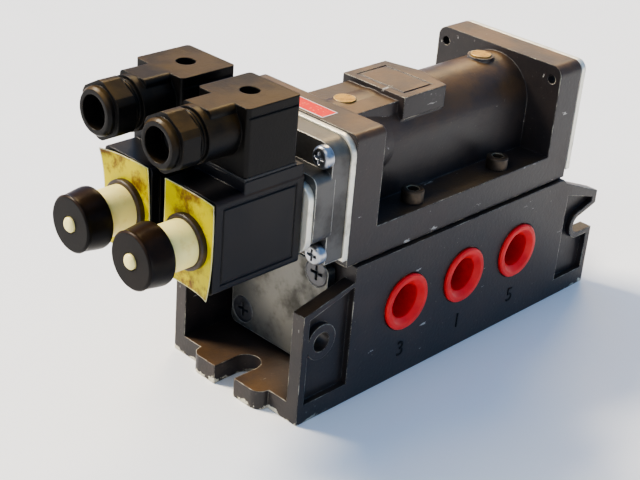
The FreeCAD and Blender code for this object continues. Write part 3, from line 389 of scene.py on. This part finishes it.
# ---------------------------------------------------------------- coils and cable plugs
# Glass filled plastic mouldings: bluish black on the coils. The brown on top of the coils and the
# plugs is settled dust and oil together with a painted warm sheen.
coil_plastic = finish_of("coil_plastic", (0.004, 0.0042, 0.0062), (0.008, 0.008, 0.010), 0.34, shine=0.25,
                         stain=(30.0, 0.4, 0.7), grain=(1600.0, 0.00003), worn_to=(0.05, 0.05, 0.06),
                         worn_cover=0.3, film=(0.075, 0.036, 0.011), film_amount=0.75)
plug_plastic = finish_of("plug_plastic", (0.004, 0.0038, 0.004), (0.009, 0.008, 0.007), 0.32, shine=0.15,
                         stain=(35.0, 0.4, 0.7), grain=(1100.0, 0.00006), worn_to=(0.12, 0.085, 0.045),
                         worn_cover=0.3, film=(0.085, 0.048, 0.012), film_amount=0.85)
for side in "12":
    cover(coil_plastic, f"coil_{side}")
    cover(plug_plastic, f"connector_housing_{side}", f"terminal_block_{side}", f"gland_nut_{side}")


# ---------------------------------------------------------------- solenoid ends
# Each guide tube wears an ivory sleeve, a black rubber cap and a domed ivory pin. They are turned or
# moulded round the tube's centre line, so the sleeve and the cap are each one profile swept through a full
# turn; the pin keeps its shape from model.glb.
def turned_piece(name, profile, near, axis_y, axis_z, surface, body, instead_of, steps=72):
    """A profile of (distance along X, radius) points swept round the X axis; it closes on itself."""
    form = bmesh.new()
    corners = [form.verts.new((near + along, axis_y, axis_z + radius)) for along, radius in profile]
    outline = [form.edges.new(pair) for pair in zip(corners, corners[1:] + corners[:1])]
    bmesh.ops.spin(form, geom=corners + outline, cent=(near, axis_y, axis_z), axis=(1, 0, 0),
                   angle=2 * math.pi, steps=steps, use_merge=True)
    bmesh.ops.remove_doubles(form, verts=form.verts, dist=1e-6)
    loose = [edge for edge in form.edges if not edge.link_faces]
    bmesh.ops.delete(form, geom=loose, context="EDGES")
    bmesh.ops.recalc_face_normals(form, faces=form.faces)
    for face in form.faces:
        face.smooth = True
    mesh = bpy.data.meshes.new(name)
    form.to_mesh(mesh)
    form.free()
    mesh.set_sharp_from_angle(angle=math.radians(35))
    mesh.materials.append(surface)
    piece = bpy.data.objects.new(name, mesh)
    bpy.context.collection.objects.link(piece)
    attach(piece, body)
    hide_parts(instead_of)
    return piece


def rounded_corner(along, radius, size, start_angle, steps=5):
    """Points of a quarter round in a profile, centred at (along, radius)."""
    angles = [math.radians(start_angle + 90 * step / steps) for step in range(steps + 1)]
    return [(along + size * math.cos(angle), radius + size * math.sin(angle)) for angle in angles]


ivory = finish_of("ivory", (0.9, 0.78, 0.31), (0.76, 0.56, 0.15), 0.32, shine=0.4,
                  stain=(120.0, 0.5, 0.8), grain=(800.0, 0.00002))
# The brown on the caps' upward faces is a painted warm highlight over a little dust.
cap_rubber = finish_of("cap_rubber", (0.005, 0.0042, 0.004), (0.012, 0.009, 0.0075), 0.3, shine=0.12,
                       stain=(40.0, 0.4, 0.75), grain=(1400.0, 0.00003), film=(0.05, 0.024, 0.009),
                       film_amount=0.7)
ring_rubber = finish_of("ring_rubber", (0.026, 0.014, 0.008), (0.06, 0.034, 0.015), 0.42,
                        stain=(200.0, 0.45, 0.7))

TUBE_RADIUS = 0.0081
TUBE_END_DEPTH = 0.0054
SLEEVE_OVERLAP = 0.004
PIN_CLEARANCE = 0.0004
SLEEVE_CLEARANCE = 0.0001
FRONT_DROP = 0.001
FRONT_RIM = 0.0007
SWELL = 0.0006
SWELL_STEPS = 12
BACK_EDGE = ((0.0009, 0.0003), (0.0002, 0.0011))
SLEEVE_ROUND = 0.0006

for side in "12":
    cap_low, cap_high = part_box(f"rubber_cap_{side}")
    axis_y, axis_z = (cap_low.y + cap_high.y) / 2, (cap_low.z + cap_high.z) / 2
    cap_length, cap_radius = cap_high.x - cap_low.x, (cap_high.z - cap_low.z) / 2
    pin_low, pin_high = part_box(f"override_pin_{side}")
    pin_radius = (pin_high.z - pin_low.z) / 2
    sleeve_low, sleeve_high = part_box(f"retaining_sleeve_{side}")
    sleeve_radius, sleeve_length = (sleeve_high.z - sleeve_low.z) / 2, sleeve_high.x - sleeve_low.x
    pin_hole = pin_radius + PIN_CLEARANCE
    mouth_radius = sleeve_radius + SLEEVE_CLEARANCE
    front_radius = cap_radius - FRONT_DROP
    front = [(0.0, pin_hole), (0.0, front_radius - FRONT_RIM), (FRONT_RIM, front_radius)]
    swell = [(cap_length * step / SWELL_STEPS,
              cap_radius - SWELL * math.cos(math.pi * step / SWELL_STEPS) - SWELL)
             for step in range(1, SWELL_STEPS - 1)]
    back = [(cap_length - inset, cap_radius - drop) for inset, drop in BACK_EDGE]
    inside = [(cap_length, mouth_radius), (cap_length - SLEEVE_OVERLAP, mouth_radius),
              (cap_length - SLEEVE_OVERLAP, TUBE_RADIUS), (TUBE_END_DEPTH, TUBE_RADIUS),
              (TUBE_END_DEPTH, pin_hole)]
    cap_profile = front + swell + back + inside
    turned_piece(f"cap_{side}", cap_profile, cap_low.x, axis_y, axis_z, cap_rubber,
                 "housing", f"rubber_cap_{side}")
    sleeve_profile = ([(0.0, TUBE_RADIUS)]
                      + rounded_corner(SLEEVE_ROUND, sleeve_radius - SLEEVE_ROUND, SLEEVE_ROUND, 90)[::-1]
                      + [(sleeve_length, sleeve_radius), (sleeve_length, TUBE_RADIUS)])
    turned_piece(f"sleeve_{side}", sleeve_profile, sleeve_low.x, axis_y, axis_z, ivory,
                 "housing", f"retaining_sleeve_{side}")

cover(ivory, "override_pin_1", "override_pin_2")
cover(ring_rubber, "sealing_ring_1", "sealing_ring_2")

# ---------------------------------------------------------------- springs inside the solenoids
# Two springs of round steel wire in each tube: a stout one returns the armature, a fine one the override
# pin. Both shorten when the pin is pressed; here they are built at rest length and are not shortened. The
# wire's round section is spun along a rising helix.
spring_wire = finish_of("spring_wire", (0.42, 0.41, 0.4), (0.28, 0.27, 0.26), 0.3, metallic=1.0)
STEPS_PER_TURN = 28
WIRE_SIDES = 10
ARMATURE_END = -0.1005
OVERRIDE_END = -0.168
SPRINGS = (
    # node, wire radius, turns, joint, the X of the end that stays, share of the length left when pressed
    ("armature_spring", 0.0005, 5, "armature_slide", ARMATURE_END, 0.67),
    ("override_spring", 0.0003, 2, "override_press", OVERRIDE_END, 0.375))

for side in "12":
    for kind, wire, turns, joint, still_end, keep in SPRINGS:
        spring_low, spring_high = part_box(f"{kind}_{side}")
        middle_y, middle_z = (spring_low.y + spring_high.y) / 2, (spring_low.z + spring_high.z) / 2
        coil_radius = (spring_high.z - spring_low.z) / 2 - wire
        rise = spring_high.x - spring_low.x - 2 * wire
        steps = turns * STEPS_PER_TURN
        wire_form = bmesh.new()
        bmesh.ops.create_circle(wire_form, segments=WIRE_SIDES, radius=wire)
        bmesh.ops.rotate(wire_form, verts=wire_form.verts, cent=(0, 0, 0),
                         matrix=Matrix.Rotation(math.pi / 2, 3, "X"))
        bmesh.ops.translate(wire_form, vec=(spring_low.x + wire, middle_y, middle_z + coil_radius),
                            verts=wire_form.verts)
        bmesh.ops.spin(wire_form, geom=wire_form.verts[:] + wire_form.edges[:], axis=(1, 0, 0),
                       cent=(0, middle_y, middle_z), dvec=(rise / steps, 0, 0), angle=2 * math.pi * turns,
                       steps=steps)
        bmesh.ops.holes_fill(wire_form, edges=wire_form.edges, sides=0)
        bmesh.ops.recalc_face_normals(wire_form, faces=wire_form.faces)
        for face in wire_form.faces:
            face.smooth = len(face.verts) == 4
        wire_mesh = bpy.data.meshes.new(f"{kind}_wire_{side}")
        wire_form.to_mesh(wire_mesh)
        wire_form.free()
        wire_mesh.materials.append(spring_wire)
        spring = bpy.data.objects.new(f"{kind}_wire_{side}", wire_mesh)
        bpy.context.collection.objects.link(spring)
        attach(spring, "housing")
        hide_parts(f"{kind}_{side}")
        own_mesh(spring)

# ---------------------------------------------------------------- yellow films
# A thin yellow film lies on the front of each coil under the sealing ring. Its corners have lifted, oil
# has crept in round the ring and browned it, and its cut edges look pale.
film_colour = finish_of("film_colour", (0.56, 0.47, 0.008), (0.16, 0.075, 0.01), 0.3, shine=0.2,
                        stain=(85.0, 0.48, 0.66), grain=(260.0, 0.0002), worn_to=(0.85, 0.86, 0.6),
                        worn_cover=0.8)
FILM_THICKNESS = 0.00025
FILM_SEGMENTS = 64
FILM_RINGS = 7
UNDER_RING = 0.0012
LIFT_POWER = 2.5
TURN_OF_FILM = {"1": -1.5, "2": 2.5}
LIFT_OF_CORNERS = {"1": (0.0006, 0.0018, 0.0004, 0.0009), "2": (0.0008, 0.0005, 0.0022, 0.0006)}

for side in "12":
    film_low, film_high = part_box(f"coil_film_{side}")
    ring_low, ring_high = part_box(f"sealing_ring_{side}")
    middle = (film_low + film_high) / 2
    half_width, half_height = (film_high.y - film_low.y) / 2, (film_high.z - film_low.z) / 2
    film_form = bmesh.new()
    hole_radius = (ring_high.z - ring_low.z) / 2 - UNDER_RING
    bmesh.ops.create_circle(film_form, segments=FILM_SEGMENTS, radius=hole_radius)
    grown = bmesh.ops.extrude_edge_only(film_form, edges=film_form.edges[:])["geom"]
    outer = [piece for piece in grown if isinstance(piece, bmesh.types.BMVert)]
    for corner in outer:
        reach = max(abs(corner.co.x), abs(corner.co.y))
        corner.co = Vector((corner.co.x / reach * half_width, corner.co.y / reach * half_height, 0))
    spokes = [edge for edge in film_form.edges if sum(vert in outer for vert in edge.verts) == 1]
    bmesh.ops.subdivide_edges(film_form, edges=spokes, cuts=FILM_RINGS)
    for vert in film_form.verts:
        across, up = vert.co.x / half_width, vert.co.y / half_height
        quarter = (across > 0) + 2 * (up > 0)
        vert.co.z = LIFT_OF_CORNERS[side][quarter] * abs(across * up) ** LIFT_POWER
    bmesh.ops.rotate(film_form, verts=film_form.verts, cent=(0, 0, 0),
                     matrix=Matrix.Rotation(math.radians(TURN_OF_FILM[side]), 3, "Z"))
    bmesh.ops.recalc_face_normals(film_form, faces=film_form.faces)
    bmesh.ops.solidify(film_form, geom=film_form.faces[:], thickness=FILM_THICKNESS)
    bmesh.ops.rotate(film_form, verts=film_form.verts, cent=(0, 0, 0),
                     matrix=Matrix(((0, 0, -1), (-1, 0, 0), (0, 1, 0))))
    bmesh.ops.translate(film_form, vec=(film_high.x - FILM_THICKNESS, middle.y, middle.z),
                        verts=film_form.verts)
    bmesh.ops.recalc_face_normals(film_form, faces=film_form.faces)
    for face in film_form.faces:
        face.smooth = True
    film_mesh = bpy.data.meshes.new(f"film_{side}")
    film_form.to_mesh(film_mesh)
    film_form.free()
    film_mesh.set_sharp_from_angle(angle=math.radians(35))
    film_mesh.materials.append(film_colour)
    film = bpy.data.objects.new(f"film_{side}", film_mesh)
    bpy.context.collection.objects.link(film)
    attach(film, "housing")
    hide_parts(f"coil_film_{side}")

# ---------------------------------------------------------------- type label
# A foil label stuck on the near flange: a red printed field, mottled where the print has worn, inside a
# pale border.
label_paper = finish_of("label_paper", (0.85, 0.8, 0.75), (0.7, 0.6, 0.55), 0.4)
label_red = finish_of("label_red", (0.75, 0.025, 0.012), (0.85, 0.22, 0.13), 0.4, shine=0.2,
                      stain=(700.0, 0.56, 0.63))
label_low, label_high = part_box("type_label")
LABEL_BORDER = 0.0007
label_form = bmesh.new()
bmesh.ops.create_cube(label_form, size=1.0)
bmesh.ops.scale(label_form, vec=label_high - label_low, verts=label_form.verts)
bmesh.ops.translate(label_form, vec=(label_low + label_high) / 2, verts=label_form.verts)
printed = [face for face in label_form.faces if face.normal.z > 0.9]
bmesh.ops.inset_region(label_form, faces=printed, thickness=LABEL_BORDER)
for face in printed:
    face.material_index = 1
label_mesh = bpy.data.meshes.new("label")
label_form.to_mesh(label_mesh)
label_form.free()
label_mesh.materials.append(label_paper)
label_mesh.materials.append(label_red)
label = bpy.data.objects.new("label", label_mesh)
bpy.context.collection.objects.link(label)
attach(label, "housing")
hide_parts("type_label")

# ---------------------------------------------------------------- shipping plugs
# Soft red plastic cups with a rolled rim, pushed into the three near ports to keep dirt out until pipes
# are connected.
# Painted shade darkens the red in the cups' hollows.
plug_red = finish_of("plug_red", (0.85, 0.028, 0.018), (0.7, 0.02, 0.014), 0.34, shine=0.4,
                     stain=(80.0, 0.4, 0.7), grain=(1000.0, 0.00002), cavity_shade=(0.22, 0.003, 0.003))
cover(plug_red, "port_plugs")

# ---------------------------------------------------------------- stage, light and camera
# A pale bench top, soft warm daylight and lamplight from behind, a weak fill from the near end, and a
# bluish room that colours the shadows.
FLOOR_SIZE = 12.0
FLOOR_GAP = 0.0002
bench_top = finish_of("bench_top", (0.9, 0.9, 0.9), (0.93, 0.93, 0.92), 0.6, shine=0.2, stain=(3.0, 0.3, 0.7))
floor_form = bmesh.new()
bmesh.ops.create_grid(floor_form, x_segments=1, y_segments=1, size=FLOOR_SIZE / 2)
bmesh.ops.translate(floor_form, vec=(0, 0, -FLOOR_GAP), verts=floor_form.verts)
floor_mesh = bpy.data.meshes.new("floor")
floor_form.to_mesh(floor_mesh)
floor_form.free()
floor_mesh.materials.append(bench_top)
floor = bpy.data.objects.new("floor", floor_mesh)
bpy.context.collection.objects.link(floor)


def soft_light(name, kind, at, spread, power, colour):
    """A broad lamp that looks at the object: a square panel of this side, or a sun of this angle."""
    lamp = bpy.data.lights.new(name, kind)
    if kind == "AREA":
        lamp.size = spread
    else:
        lamp.angle = spread
    lamp.energy = power
    lamp.color = colour
    lit = bpy.data.objects.new(name, lamp)
    lit.location = at
    lit.rotation_euler = (OBJECT_MIDDLE - Vector(at)).to_track_quat("-Z", "Y").to_euler()
    bpy.context.collection.objects.link(lit)


OBJECT_MIDDLE = Vector((0, 0, 0.05))
soft_light("window", "SUN", (-0.6, 1.2, 1.25), math.radians(16), 6.2, (1.0, 0.89, 0.72))
soft_light("lamp", "SUN", (1.1, 0.8, 1.2), math.radians(24), 1.3, (1.0, 0.74, 0.38))
soft_light("front", "AREA", (-1.3, -0.2, 1.2), 0.8, 6.5, (1.0, 0.93, 0.8))

sky = bpy.data.worlds.new("room")
sky.use_nodes = True
sky.node_tree.nodes["Background"].inputs["Color"].default_value = (0.33, 0.57, 1.0, 1.0)
sky.node_tree.nodes["Background"].inputs["Strength"].default_value = 0.72
bpy.context.scene.world = sky
bpy.context.scene.view_settings.look = "AgX - Medium High Contrast"

lens = bpy.data.cameras.new("camera")
lens.lens = 77.03
lens.sensor_width = 36.0
lens.clip_start = 0.01
lens.clip_end = 50.0
camera = bpy.data.objects.new("camera", lens)
camera.location = (-0.44942, -0.36333, 0.33241)
camera.rotation_euler = (math.radians(62.688), math.radians(-4.318), math.radians(-45.126))
bpy.context.collection.objects.link(camera)
bpy.context.scene.camera = camera
